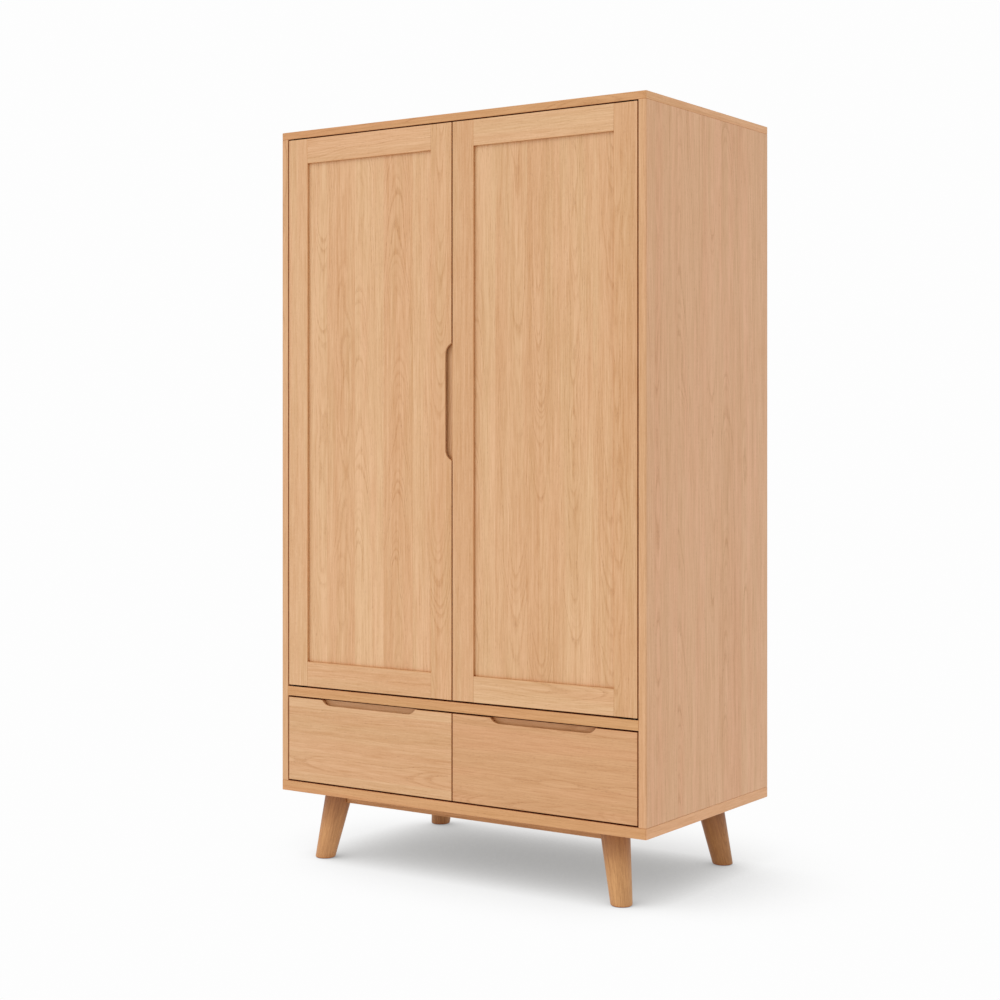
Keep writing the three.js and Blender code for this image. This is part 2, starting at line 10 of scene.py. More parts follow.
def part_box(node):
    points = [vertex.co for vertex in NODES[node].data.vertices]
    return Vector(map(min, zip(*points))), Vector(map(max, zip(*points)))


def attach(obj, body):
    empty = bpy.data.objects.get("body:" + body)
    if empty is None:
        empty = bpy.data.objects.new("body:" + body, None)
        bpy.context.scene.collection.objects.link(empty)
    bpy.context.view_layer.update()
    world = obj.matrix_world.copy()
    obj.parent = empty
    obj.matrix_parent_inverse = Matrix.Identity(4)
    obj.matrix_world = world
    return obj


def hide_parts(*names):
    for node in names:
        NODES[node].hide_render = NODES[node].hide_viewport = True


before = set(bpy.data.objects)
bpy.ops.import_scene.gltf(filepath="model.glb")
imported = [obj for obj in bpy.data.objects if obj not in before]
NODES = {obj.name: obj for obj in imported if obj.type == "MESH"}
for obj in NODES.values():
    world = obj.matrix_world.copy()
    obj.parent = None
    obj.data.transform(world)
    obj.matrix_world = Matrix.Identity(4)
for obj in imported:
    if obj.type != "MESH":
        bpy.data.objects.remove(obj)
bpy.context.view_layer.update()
MM = 0.001

# ---------------------------------------------------------------- node trees


class Nodes:
    """Short calls for wiring a node tree. A number or tuple is set on the socket itself."""

    def __init__(self, tree):
        self.tree = tree

    def add(self, kind, feeds=None, **settings):
        node = self.tree.nodes.new(kind)
        for key, value in settings.items():
            setattr(node, key, value)
        for key, value in (feeds or {}).items():
            self.feed(node.inputs[key], value)
        return node

    def feed(self, socket, value):
        if isinstance(value, bpy.types.NodeSocket):
            self.tree.links.new(value, socket)
        else:
            socket.default_value = value

    def group(self, tree, **feeds):
        return self.add("ShaderNodeGroup", feeds, node_tree=tree).outputs

    def math(self, operation, *values):
        feeds = dict(enumerate(values))
        return self.add("ShaderNodeMath", feeds, operation=operation).outputs[0]

    def scale(self, value, factor, offset=0.0):
        return self.math("MULTIPLY_ADD", value, factor, offset)

    def vector(self, operation, *values):
        feeds = dict(enumerate(values))
        return self.add("ShaderNodeVectorMath", feeds, operation=operation).outputs[0]

    def split(self, vector):
        return self.add("ShaderNodeSeparateXYZ", {0: vector}).outputs

    def join(self, x, y, z):
        return self.add("ShaderNodeCombineXYZ", {0: x, 1: y, 2: z}).outputs[0]

    def ramp(self, value, low, high, to_low=0.0, to_high=1.0):
        """Smooth step from to_low at low to to_high at high."""
        feeds = {0: value, 1: low, 2: high, 3: to_low, 4: to_high}
        return self.add("ShaderNodeMapRange", feeds, interpolation_type="SMOOTHSTEP").outputs[0]

    def noise(self, vector, detail=0.0, roughness=0.5, colour=False):
        feeds = {"Vector": vector, "Scale": 1.0, "Detail": detail, "Roughness": roughness}
        return self.add("ShaderNodeTexNoise", feeds).outputs["Color" if colour else "Fac"]

    def stretched(self, vector, across, along, detail=0.0, roughness=0.5):
        """Noise whose blotches measure across by across by along, in metres."""
        cell = self.vector("MULTIPLY", vector, (1 / across, 1 / across, 1 / along))
        return self.noise(cell, detail, roughness)

    def random(self, vector, colour=False):
        node = self.add("ShaderNodeTexWhiteNoise", {"Vector": vector}, noise_dimensions="3D")
        return node.outputs["Color" if colour else "Value"]

    def shelter(self, reach, samples, **feeds):
        """1 in the open, down to 0 where things within reach surround the surface."""
        feeds["Distance"] = reach
        return self.add("ShaderNodeAmbientOcclusion", feeds, samples=samples).outputs["AO"]

    def blend(self, factor, a, b, mode="MIX"):
        feeds = {0: factor, 6: a, 7: b}
        return self.add("ShaderNodeMix", feeds, data_type="RGBA", blend_type=mode).outputs[2]

    def tint(self, factor, colour, tint):
        """The colour times the tint where factor is 1, and the colour itself where it is 0."""
        return self.blend(factor, colour, tint, "MULTIPLY")


def new_group(name, kind, inputs, outputs):
    """A node group with the given sockets, its Nodes helper, and the sockets inside it."""
    tree = bpy.data.node_groups.new(name, kind)
    for sockets, way in ((inputs, "INPUT"), (outputs, "OUTPUT")):
        for label, socket in sockets:
            tree.interface.new_socket(label, in_out=way, socket_type="NodeSocket" + socket)
    nodes = Nodes(tree)
    start = nodes.add("NodeGroupInput").outputs
    end = nodes.add("NodeGroupOutput").inputs
    return tree, nodes, start, end


def new_material(name):
    """A material, its Nodes helper and the sockets of its shader."""
    material = bpy.data.materials.new(name)
    material.use_nodes = True
    n = Nodes(material.node_tree)
    return material, n, n.tree.nodes["Principled BSDF"].inputs


def set_bump(n, sockets, height, strength, depth):
    bump = n.add("ShaderNodeBump", {"Strength": strength, "Distance": depth, "Height": height})
    n.feed(sockets["Normal"], bump.outputs[0])


def rgba(colour):
    return (*colour, 1.0)


# ---------------------------------------------------------------- figure of the wood

# Sizes of the figure's blotches across and along the grain, with the noise's detail and roughness.
FIBRE = (1.1 * MM, 40 * MM, 2.0, 0.6)
FLECK = (2.7 * MM, 85 * MM, 2.0, 0.6)
STREAK = (8 * MM, 380 * MM, 3.0, 0.55)
BAND = (50 * MM, 700 * MM, 1.0)
PORE = (0.42 * MM, 9 * MM)
PORE_CUT = (0.60, 0.72)  # noise between which a pore begins
PORE_LATE = 0.2  # share of the pores that late wood keeps

RING = 2.4 * MM  # width of a year's growth
RING_UNEVEN = 2.4  # how many years the rings stray from even growth
RING_RATE = 130.0  # how often they stray, per metre
PITH_NEAR = 26 * MM  # nearest that the heart of the tree comes to a leaf's face
PITH_SPREAD = 60 * MM
PITH_LEAN = 0.13
WANDER = 34 * MM  # how far the heart strays from its line
WANDER_RATE = (5.0, 5.0, 2.3)  # how often it strays across, in depth and along, per metre
WANDER_NOISE = (2.0, 0.55)  # detail and roughness
EARLY_RISE = (0.0, 0.12)  # parts of a year over which its dark early wood comes and goes
EARLY_FALL = (0.22, 0.62)
VIGOUR = (0.1, 1.0, 0.25, 1.0)  # spread of the years' strength
RAY_RATE = (150.0, 110.0, 260.0)  # rays round the heart, out from it and along it
RAY_CUT = (0.66, 0.74)

LEAF_SLIDE = 0.9  # share of its width by which a leaf's figure may be off its middle
LEAF_STEP = 1.37  # metres along the tree from one leaf to the next
SEED_ACROSS, SEED_ALONG = 0.73, 2.11  # metres from one seed's figure to the next
LEAF_DRAW, TONE_DRAW, VIGOUR_DRAW = 0.5, 4.5, 9.5  # keep the random draws apart

EARLY_DARK, BASE_DARK = 0.20, 0.26
DARK_SHARES = (0.55, 0.9, 0.6, 0.34, 0.2)  # of fibre, fleck, streak, band and the leaf's tone
RAY_SHARE = -0.10
PINK_RATE, PINK_SHIFT = (26.0, 26.0, 2.2), (7.7, 3.1, 0.0)
PINK_CUT = (0.3, 0.7)
PINK_TONE = 0.2
FIBRE_RISE, EARLY_DIP = 0.3, 0.18  # heights against the depth of a pore


def oak_figure():
    """Growth rings round a leaning heart, with streaks, fibre, pores and rays.

    The vector runs across the face, into the board and along the grain, in metres. Every leaf,
    a strip of the face Leaf wide, comes from its own part of the tree. Rings is the strength of
    the growth rings.
    """
    inputs = [("Vector", "Vector"), ("Seed", "Float"), ("Leaf", "Float"), ("Rings", "Float")]
    outputs = [("Dark", "Float"), ("Pink", "Float"), ("Pores", "Float"), ("Height", "Float")]
    tree, n, start, end = new_group("oak_figure", "ShaderNodeTree", inputs, outputs)
    seed = start["Seed"]
    x, y, z = n.split(start["Vector"])
    leaf = n.math("ROUND", n.math("DIVIDE", x, start["Leaf"]))
    draw = n.split(n.random(n.join(leaf, seed, LEAF_DRAW), colour=True))
    tone = n.random(n.join(leaf, seed, TONE_DRAW))
    x = n.math("SUBTRACT", x, n.math("MULTIPLY", leaf, start["Leaf"]))
    slide = n.scale(draw[0], LEAF_SLIDE, -LEAF_SLIDE / 2)
    x = n.math("ADD", x, n.math("MULTIPLY", slide, start["Leaf"]))
    along = n.math("ADD", n.scale(leaf, LEAF_STEP), n.scale(seed, SEED_ALONG))
    along = n.math("ADD", z, along)
    place = n.join(n.math("ADD", x, n.scale(seed, SEED_ACROSS)), y, along)

    drift = n.vector("MULTIPLY", place, WANDER_RATE)
    drift = n.split(n.noise(drift, *WANDER_NOISE, colour=True))
    rx = n.math("ADD", x, n.scale(drift[0], WANDER, -WANDER / 2))
    depth = n.math("ADD", y, n.scale(draw[1], PITH_SPREAD, PITH_NEAR))
    depth = n.math("ADD", depth, n.scale(drift[1], WANDER, -WANDER / 2))
    lean = n.math("MULTIPLY", z, n.scale(draw[2], PITH_LEAN, -PITH_LEAN / 2))
    ry = n.math("ADD", depth, lean)
    square = n.math("ADD", n.math("MULTIPLY", rx, rx), n.math("MULTIPLY", ry, ry))
    radius = n.math("SQRT", square)
    uneven = n.noise(n.join(n.scale(radius, RING_RATE), seed, 0.0), detail=1.0)
    year = n.math("ADD", n.scale(radius, 1 / RING), n.scale(uneven, RING_UNEVEN))
    part = n.math("FRACT", year)
    vigour = n.random(n.join(n.math("FLOOR", year), seed, VIGOUR_DRAW))
    early = n.math("MULTIPLY", n.ramp(part, *EARLY_RISE), n.ramp(part, *EARLY_FALL, 1.0, 0.0))
    early = n.math("MULTIPLY", early, n.ramp(vigour, *VIGOUR))
    early = n.math("MULTIPLY", early, start["Rings"])

    blotches = [n.stretched(place, *kind) for kind in (FIBRE, FLECK, STREAK, BAND)]
    pore = n.ramp(n.stretched(place, *PORE), *PORE_CUT)
    pore = n.math("MULTIPLY", pore, n.scale(early, 1 - PORE_LATE, PORE_LATE))
    turn = n.math("ARCTAN2", rx, ry)
    ray = n.join(*(n.scale(value, rate) for value, rate in zip((turn, radius, along), RAY_RATE)))
    ray = n.ramp(n.noise(ray), *RAY_CUT)

    dark = n.scale(early, EARLY_DARK, BASE_DARK)
    for value, share in zip((*blotches, tone), DARK_SHARES):
        dark = n.math("ADD", dark, n.scale(value, share, -share / 2))
    dark = n.math("ADD", dark, n.scale(ray, RAY_SHARE))
    n.feed(end["Dark"], n.math("MAXIMUM", dark, 0.0))
    pink = n.vector("ADD", n.vector("MULTIPLY", place, PINK_RATE), PINK_SHIFT)
    pink = n.noise(pink, detail=1.0)
    pink = n.math("ADD", pink, n.scale(tone, PINK_TONE, -PINK_TONE / 2))
    n.feed(end["Pink"], n.ramp(pink, *PINK_CUT))
    n.feed(end["Pores"], pore)
    height = n.math("SUBTRACT", n.scale(blotches[0], FIBRE_RISE), pore)
    n.feed(end["Height"], n.math("SUBTRACT", height, n.scale(early, EARLY_DIP)))
    return tree


ARRIS_WEAR = (0.3 * MM, 2.6 * MM)  # distances from an arris over which its wear fades


def edge_mask():
    """How near a point on a box-like board is to an arris."""
    inputs = [("Vector", "Vector"), ("Low", "Vector"), ("High", "Vector")]
    tree, n, start, end = new_group("edge_mask", "ShaderNodeTree", inputs, [("Arris", "Float")])
    from_low = n.vector("SUBTRACT", start["Vector"], start["Low"])
    from_high = n.vector("SUBTRACT", start["High"], start["Vector"])
    a, b, c = n.split(n.vector("MINIMUM", from_low, from_high))
    second = n.math("MINIMUM", n.math("MAXIMUM", a, b), c)
    second = n.math("MAXIMUM", n.math("MINIMUM", a, b), second)
    n.feed(end["Arris"], n.ramp(second, *ARRIS_WEAR, 1.0, 0.0))
    return tree


OAK_FIGURE = oak_figure()
EDGE_MASK = edge_mask()

# ---------------------------------------------------------------- wood


def toned(palette, factors):
    return tuple(tuple(c * f for c, f in zip(colour, factors)) for colour in palette)


# Light and dark wood of each family of pieces, in linear colour.
FRONT_OAK = ((0.71, 0.463, 0.268), (0.463, 0.218, 0.065))
# Painted light and shade: each door and drawer has its own copy of the front oak, darker towards
# the bottom and the right, as light falls on the front.
DOOR_OAK_AS_LIT = {
    "left": toned(FRONT_OAK, (1.03, 0.995, 0.95)),
    "right": toned(FRONT_OAK, (1.01, 0.98, 0.93)),
}
SHADED_DRAWER_OAK = {
    "left": toned(FRONT_OAK, (0.98, 0.93, 0.87)),
    "right": toned(FRONT_OAK, (0.90, 0.775, 0.665)),
}
CASE_OAK = ((0.71, 0.418, 0.236), (0.459, 0.209, 0.064))
EDGE_OAK = toned(CASE_OAK, (1.03, 0.99, 0.88))
# The legs' and base rails' oak is browner, and is also darkened as painted shade for the shade
# under the case.
LEG_OAK = ((0.638, 0.333, 0.130), (0.262, 0.093, 0.0187))
# Painted shade: the back legs take a darker copy of the legs' oak, for the case's shade over them.
SHADED_BACK_LEG_OAK = toned(LEG_OAK, (0.66, 0.565, 0.42))
BOX_WOOD = ((0.84, 0.62, 0.40), (0.62, 0.41, 0.23))
PLY_WOOD = ((0.80, 0.58, 0.37), (0.60, 0.39, 0.22))

# Tints of the front edge of a level board, of the board between doors and drawers and of a side.
LEVEL_FRONT = (0.89, 0.80, 0.617, 1.0)
MIDDLE_FRONT = (0.917, 0.862, 0.675, 1.0)
UPRIGHT_FRONT = (0.97, 0.96, 0.89, 1.0)
PINK_TINT = (1.02, 0.975, 0.99, 1.0)
PORE_TINT = (0.62, 0.50, 0.42, 1.0)
PORE_STRENGTH = 0.75
WORN_TINT = (1.0, 0.93, 0.82, 1.0)
WORN_STRENGTH = 0.8
LEG_TOP_PAINTED_SHADE = (0.60, 0.48, 0.36, 1.0)
LEG_TOP_RISE = (50 * MM, 165 * MM)  # heights over which a leg darkens with painted shade under the case
FRONT_FACING = (-0.9, -0.5)  # Y of the normals over which the front edge's tint fades
END_FACING = 0.7  # least share of the normal that runs along the grain on a board's end
STRIP_SEED, STRIP_RINGS = 5.0, 0.2  # figure of the strips glued over a board's ends

CREVICE_SHADE_REACH = 9 * MM  # reach of the painted shade that darkens gaps and inner corners
RECESS_SHADE_REACH = 22 * MM  # reach of the painted shade that warms recesses
SHELTER_SAMPLES = 6
# Shelter over which each painted shade fades, and its tint; gaps, inner corners and recesses are
# darkened where less light falls.
RECESS_PAINTED_SHADE = ((0.35, 0.85), (0.93, 0.79, 0.60, 1.0))
CORNER_PAINTED_SHADE = ((0.10, 0.60), (0.82, 0.70, 0.58, 1.0))
GAP_PAINTED_SHADE = ((0.10, 0.46), (0.70, 0.13, 0.010, 1.0))

GLOSS = 0.42  # specular level, which fades in sheltered places
GLOSS_FADE = (0.1, 0.6)
CLOUD = (110 * MM, 160 * MM, 2.0)  # size and detail of the dull clouds in the lacquer
CLOUD_ROUGH = 0.14
PORE_ROUGH = 0.2
ARRIS_POLISH = 0.06
GRAIN_BUMP = (0.5, 0.15 * MM)  # strength and depth


def arranged(n, vector, order):
    """The vector with its axes in the order across, depth, along."""
    parts = dict(zip("xyz", n.split(vector)))
    return n.join(*(parts[axis] for axis in order))


def wood_colour(n, figure, palette):
    light, dark = palette
    colour = n.blend(figure["Dark"], rgba(light), rgba(dark))
    colour = n.tint(figure["Pink"], colour, PINK_TINT)
    return n.tint(n.scale(figure["Pores"], PORE_STRENGTH), colour, PORE_TINT)


def wood(name, order, seed, palette, low, high, leaf, rough=0.5, band=None, front=None, shear=None):
    """Lacquered oak for one board, which spans low to high, with its grain axes in the given order.

    band is the order of the axes on the strips glued over the board's ends, and front is the tint
    of its front edge. A turned leg has the shear that sets it upright.
    """
    material, n, sockets = new_material(name)
    coords = n.add("ShaderNodeTexCoord").outputs
    place = n.vector("SUBTRACT", coords["Object"], tuple((low + high) / 2))
    if shear:
        x, y, z = n.split(place)
        x, y = (n.math("ADD", c, n.scale(z, slope)) for c, slope in zip((x, y), shear))
        place = n.join(x, y, z)

    def figure(axes, offset, rings):
        vector = arranged(n, place, axes)
        return n.group(OAK_FIGURE, Vector=vector, Seed=seed + offset, Leaf=leaf, Rings=rings)

    main = figure(order, 0.0, 1.0)
    colour, height = wood_colour(n, main, palette), main["Height"]
    if shear:
        # Painted shade: a leg darkens towards its top, in the shade under the case.
        upper = n.ramp(n.split(coords["Object"])["Z"], *LEG_TOP_RISE)
        colour = n.tint(upper, colour, LEG_TOP_PAINTED_SHADE)
    if front:
        ahead = n.ramp(n.split(coords["Normal"])["Y"], *FRONT_FACING, 1.0, 0.0)
        colour = n.tint(ahead, colour, front)
    if band:
        strip = figure(band, STRIP_SEED, STRIP_RINGS)
        lengthwise = n.math("ABSOLUTE", n.split(coords["Normal"])[order[-1].upper()])
        ends = n.math("GREATER_THAN", lengthwise, END_FACING)
        colour = n.blend(ends, colour, wood_colour(n, strip, EDGE_OAK))
        height = n.math("MULTIPLY", height, n.math("SUBTRACT", 1.0, ends))
        height = n.math("ADD", height, n.math("MULTIPLY", strip["Height"], ends))
    arris = n.group(EDGE_MASK, Vector=coords["Object"], Low=tuple(low), High=tuple(high))["Arris"]
    colour = n.tint(n.scale(arris, WORN_STRENGTH), colour, WORN_TINT)
    # Painted shade: the colour is warmed in recesses and darkened in inner corners and gaps, by how
    # sheltered the surface is.
    near, wide = (n.shelter(reach, SHELTER_SAMPLES) for reach in (CREVICE_SHADE_REACH, RECESS_SHADE_REACH))
    painted_shades = ((wide, RECESS_PAINTED_SHADE), (near, CORNER_PAINTED_SHADE), (near, GAP_PAINTED_SHADE))
    for shelter, (fade, shade_colour) in painted_shades:
        colour = n.tint(n.ramp(shelter, *fade, 1.0, 0.0), colour, shade_colour)
    n.feed(sockets["Base Color"], colour)
    dull = n.scale(n.stretched(place, *CLOUD), CLOUD_ROUGH, rough - CLOUD_ROUGH / 2)
    dull = n.math("ADD", dull, n.scale(main["Pores"], PORE_ROUGH))
    n.feed(sockets["Roughness"], n.math("SUBTRACT", dull, n.scale(arris, ARRIS_POLISH)))
    gloss = sockets["Specular IOR Level"]
    gloss.default_value = GLOSS
    n.feed(gloss, n.ramp(near, *GLOSS_FADE, 0.0, GLOSS))
    set_bump(n, sockets, height, *GRAIN_BUMP)
    return material


# ---------------------------------------------------------------- metal and plastic

METAL_CLOUDS = (60.0, 60.0, 60.0)  # per metre
METAL_DULL = 0.8  # colour of the dull places against the bright ones
METAL_LINES = 0.25  # share of the drawn lines in the colour, against that of the clouds
METAL_CLOUD_ROUGH, METAL_LINE_ROUGH = 0.12, 0.14
METAL_BUMP = (0.25, 0.05 * MM)
PLASTIC_GRAIN = (1800.0, 1800.0, 1800.0)
PLASTIC_CLOUDS = (90.0, 90.0, 90.0)
PLASTIC_DEEP = 0.82
PLASTIC_ROUGH = 0.16
PLASTIC_BUMP = (0.3, 0.08 * MM)


def metal(name, colour, rough, streaks):
    """Metal with fine drawn lines, whose blotches measure streaks, in metres."""
    material, n, sockets = new_material(name)
    place = n.add("ShaderNodeTexCoord").outputs["Object"]
    lines = n.vector("MULTIPLY", place, tuple(1 / s for s in streaks))
    lines = n.noise(lines, detail=3.0, roughness=0.6)
    clouds = n.noise(n.vector("MULTIPLY", place, METAL_CLOUDS), detail=2.0)
    shade = n.math("ADD", n.scale(lines, METAL_LINES), n.scale(clouds, 1 - METAL_LINES))
    dull = rgba(c * METAL_DULL for c in colour)
    n.feed(sockets["Base Color"], n.blend(shade, dull, rgba(colour)))
    cloudy = n.scale(clouds, METAL_CLOUD_ROUGH, rough - METAL_CLOUD_ROUGH)
    n.feed(sockets["Roughness"], n.math("ADD", cloudy, n.scale(lines, METAL_LINE_ROUGH)))
    sockets["Metallic"].default_value = 1.0
    set_bump(n, sockets, lines, *METAL_BUMP)
    return material


def plastic(name, colour, rough):
    """Moulded plastic with a fine spark-eroded texture."""
    material, n, sockets = new_material(name)
    place = n.add("ShaderNodeTexCoord").outputs["Object"]
    grain = n.noise(n.vector("MULTIPLY", place, PLASTIC_GRAIN), detail=2.0)
    clouds = n.noise(n.vector("MULTIPLY", place, PLASTIC_CLOUDS), detail=1.0)
    deep = rgba(c * PLASTIC_DEEP for c in colour)
    n.feed(sockets["Base Color"], n.blend(clouds, deep, rgba(colour)))
    n.feed(sockets["Roughness"], n.scale(grain, PLASTIC_ROUGH, rough - PLASTIC_ROUGH / 2))
    set_bump(n, sockets, grain, *PLASTIC_BUMP)
    return material


STREAKS_X = (30 * MM, 0.35 * MM, 0.35 * MM)
STREAKS_Y = (0.35 * MM, 40 * MM, 0.35 * MM)
STREAKS_FINE = (0.5 * MM, 0.5 * MM, 0.5 * MM)
HINGE_BRONZE = metal("hinge_bronze", (0.075, 0.05, 0.035), 0.42, STREAKS_X)
PLATE_STEEL = metal("plate_steel", (0.60, 0.60, 0.59), 0.34, STREAKS_X)
RAIL_CHROME = metal("rail_chrome", (0.72, 0.73, 0.74), 0.14, STREAKS_X)
RUNNER_ZINC = metal("runner_zinc", (0.52, 0.54, 0.56), 0.36, STREAKS_Y)
SCREW_STEEL = metal("screw_steel", (0.56, 0.56, 0.55), 0.30, STREAKS_FINE)
BROWN_PLASTIC = plastic("brown_plastic", (0.15, 0.105, 0.07), 0.5)
GREY_FELT = plastic("grey_felt", (0.17, 0.16, 0.15), 0.9)

# ---------------------------------------------------------------- surface of the frame's own pieces

SMOOTH_ANGLE = math.radians(32)
FLAT_ANGLE = math.radians(0.5)
WELD = 0.02 * MM
ARRIS = 1.4 * MM  # radius of the outer edges; other edges are given a share of it
ARRIS_SEGMENTS = 3
TOLERANCE = 0.6 * MM
CORNER_REACH = 4.4 * MM  # a little over the radius of the case's upright corners
OUTLINE_FACES = 1.5  # an edge on the outline lies in more of the box's faces than this


def clean_group():
    """Welds a mesh, drops its stored normals and smooths it across shallow angles."""
    sockets = [("Geometry", "Geometry")]
    tree, n, start, end = new_group("clean_surface", "GeometryNodeTree", sockets, sockets)
    weld = n.add("GeometryNodeMergeByDistance", {"Geometry": start[0], "Distance": WELD})
    feeds = {"Geometry": weld.outputs[0], "Name": "custom_normal"}
    drop = n.add("GeometryNodeRemoveAttribute", feeds)
    feeds = {"Geometry": drop.outputs[0], "Shade Smooth": True}
    faces = n.add("GeometryNodeSetShadeSmooth", feeds)
    angle = n.add("GeometryNodeInputMeshEdgeAngle").outputs[0]
    sharp = n.add("FunctionNodeCompare", {0: angle, 1: SMOOTH_ANGLE}, operation="GREATER_THAN")
    feeds = {"Geometry": faces.outputs[0], "Selection": sharp.outputs[0], "Shade Smooth": False}
    edges = n.add("GeometryNodeSetShadeSmooth", feeds, domain="EDGE")
    n.feed(end[0], edges.outputs[0])
    return tree


def weight_group():
    """Marks the edges to round, by the box Low to High that they belong to.

    Soft is for the edges on the box's outline, Tight for others in its front or back face and Inner
    for the rest. Corner is how far in from the box's upright faces its rounded corners reach.
    """
    inputs = [("Geometry", "Geometry"), ("Low", "Vector"), ("High", "Vector")]
    inputs += [(label, "Float") for label in ("Soft", "Tight", "Inner", "Corner")]
    outputs = [("Geometry", "Geometry")]
    tree, n, start, end = new_group("edge_weights", "GeometryNodeTree", inputs, outputs)
    place = n.add("GeometryNodeInputPosition").outputs[0]
    outline = 0.0
    in_face = 0.0
    for corner in ("Low", "High"):
        gap = n.split(n.vector("ABSOLUTE", n.vector("SUBTRACT", place, start[corner])))
        for part, reach in zip(gap, (start["Corner"], start["Corner"], TOLERANCE)):
            outline = n.math("ADD", outline, n.math("LESS_THAN", part, reach))
        in_face = n.math("ADD", in_face, n.math("LESS_THAN", gap["Y"], TOLERANCE))
    angle = n.add("GeometryNodeInputMeshEdgeAngle").outputs[0]
    sharp = n.math("GREATER_THAN", angle, SMOOTH_ANGLE)
    on_outline = n.math("GREATER_THAN", outline, OUTLINE_FACES)
    weight = start["Inner"]
    for where, share in ((in_face, start["Tight"]), (on_outline, start["Soft"])):
        more = n.math("MULTIPLY", where, n.math("SUBTRACT", share, weight))
        weight = n.math("ADD", weight, more)
    weight = n.math("MULTIPLY", sharp, weight)
    feeds = {"Geometry": start[0], "Name": "bevel_weight_edge", "Value": weight}
    store = n.add("GeometryNodeStoreNamedAttribute", feeds, data_type="FLOAT", domain="EDGE")
    n.feed(end[0], store.outputs[0])
    return tree


CLEAN = clean_group()
WEIGHTS = weight_group()


def add_nodes(obj, group, **values):
    modifier = obj.modifiers.new(group.name, "NODES")
    modifier.node_group = group
    items = group.interface.items_tree
    keys = {item.name: item.identifier for item in items if item.in_out == "INPUT"}
    for label, value in values.items():
        modifier[keys[label]] = value


def soften(obj, low, high, soft=1.0, tight=0.3, inner=None, corner=TOLERANCE):
    """Rounds the edges of a board, which belongs to the box low to high, by shares of ARRIS.

    soft is the outline's share, tight that of other edges in the front or back face, and inner that
    of the rest, the same as tight unless given.
    """
    inner = tight if inner is None else inner
    shares = {"Soft": soft, "Tight": tight, "Inner": inner, "Corner": corner}
    add_nodes(obj, CLEAN)
    flat = obj.modifiers.new("flat_faces", "DECIMATE")
    flat.decimate_type = "DISSOLVE"
    flat.angle_limit = FLAT_ANGLE
    add_nodes(obj, WEIGHTS, Low=tuple(low), High=tuple(high), **shares)
    bevel = obj.modifiers.new("arrises", "BEVEL")
    bevel.limit_method = "WEIGHT"
    bevel.width = ARRIS
    bevel.segments = ARRIS_SEGMENTS
    bevel.use_clamp_overlap = False
    bevel.harden_normals = True


def finish_with(obj, material):
    obj.data.materials.clear()
    obj.data.materials.append(material)


def union_box(names):
    """Lowest and highest corner of several frame pieces together."""
    corners = [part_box(name) for name in names]
    low = Vector(tuple(min(c[0][i] for c in corners) for i in range(3)))
    high = Vector(tuple(max(c[1][i] for c in corners) for i in range(3)))
    return low, high


SIDES = {"left": -1, "right": 1}
CASE_BOARDS = ("top_panel", "bottom_panel", "left_side_panel", "right_side_panel")
case_low, case_high = union_box(CASE_BOARDS)

# For each board: the axes across, into and along the grain, its seed, palette, leaf's width and
# roughness, the axes of the strips over its ends, and its front edge's tint.
BOARDS = {
    "top_panel": ("yzx", 1.0, CASE_OAK, 0.12, 0.5, "zxy", LEVEL_FRONT),
    "bottom_panel": ("yzx", 2.0, CASE_OAK, 0.12, 0.5, "zxy", LEVEL_FRONT),
    "left_side_panel": ("yxz", 3.0, CASE_OAK, 0.105, 0.5, None, UPRIGHT_FRONT),
    "right_side_panel": ("yxz", 4.0, CASE_OAK, 0.105, 0.5, None, UPRIGHT_FRONT),
    "mid_panel": ("yzx", 5.0, CASE_OAK, 0.12, 0.5, None, MIDDLE_FRONT),
    "drawer_divider": ("zxy", 6.0, CASE_OAK, 0.12, 0.5, None, None),
    "hat_shelf": ("yzx", 7.0, CASE_OAK, 0.11, 0.5, None, LEVEL_FRONT),
    "back_panel": ("xyz", 8.0, PLY_WOOD, 0.21, 0.58, None, None),
    "front_base_rail": ("zyx", 9.0, LEG_OAK, 0.3, 0.5, None, None),
    "back_base_rail": ("zyx", 10.0, LEG_OAK, 0.3, 0.5, None, None),
}
DOOR_SEED, DOOR_PANEL_SEED, DRAWER_SEED, SIDE_SEEDS = 20.0, 26.0, 50.0, 10.0
DOOR_FRAME = {"outer_stile": "xyz", "inner_stile": "xyz", "bottom_rail": "zyx", "top_rail": "zyx"}
DRAWER_BOX = {"left_side": "zxy", "right_side": "zxy", "back": "zyx", "bottom": "xzy"}
DOOR_LEAF, DOOR_PANEL_LEAF, DRAWER_LEAF, BOX_LEAF = 0.4, 0.088, 0.16, 0.2
BOX_ROUGH = 0.6


def dress_case():
    for name, (order, seed, palette, leaf, rough, band, front) in BOARDS.items():
        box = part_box(name)
        material = wood(name, order, seed, palette, *box, leaf, rough, band, front)
        finish_with(NODES[name], material)
        if name in CASE_BOARDS:
            soften(NODES[name], case_low, case_high, soft=1.0, tight=0.55, corner=CORNER_REACH)
        else:
            soften(NODES[name], *box, soft=0.5)


def dress_doors():
    for k, side in enumerate(SIDES):
        oak = DOOR_OAK_AS_LIT[side]
        parts = {f"{side}_door_{part}": order for part, order in DOOR_FRAME.items()}
        outline = union_box(parts)
        for i, (name, order) in enumerate(parts.items()):
            seed = DOOR_SEED + SIDE_SEEDS * k + i
            finish_with(NODES[name], wood(name, order, seed, oak, *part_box(name), DOOR_LEAF))
            soften(NODES[name], *outline, soft=0.7, tight=0.25, inner=0.0)
        name = f"{side}_door_panel"
        seed = DOOR_PANEL_SEED + SIDE_SEEDS * k
        finish_with(NODES[name], wood(name, "xyz", seed, oak, *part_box(name), DOOR_PANEL_LEAF))
        add_nodes(NODES[name], CLEAN)


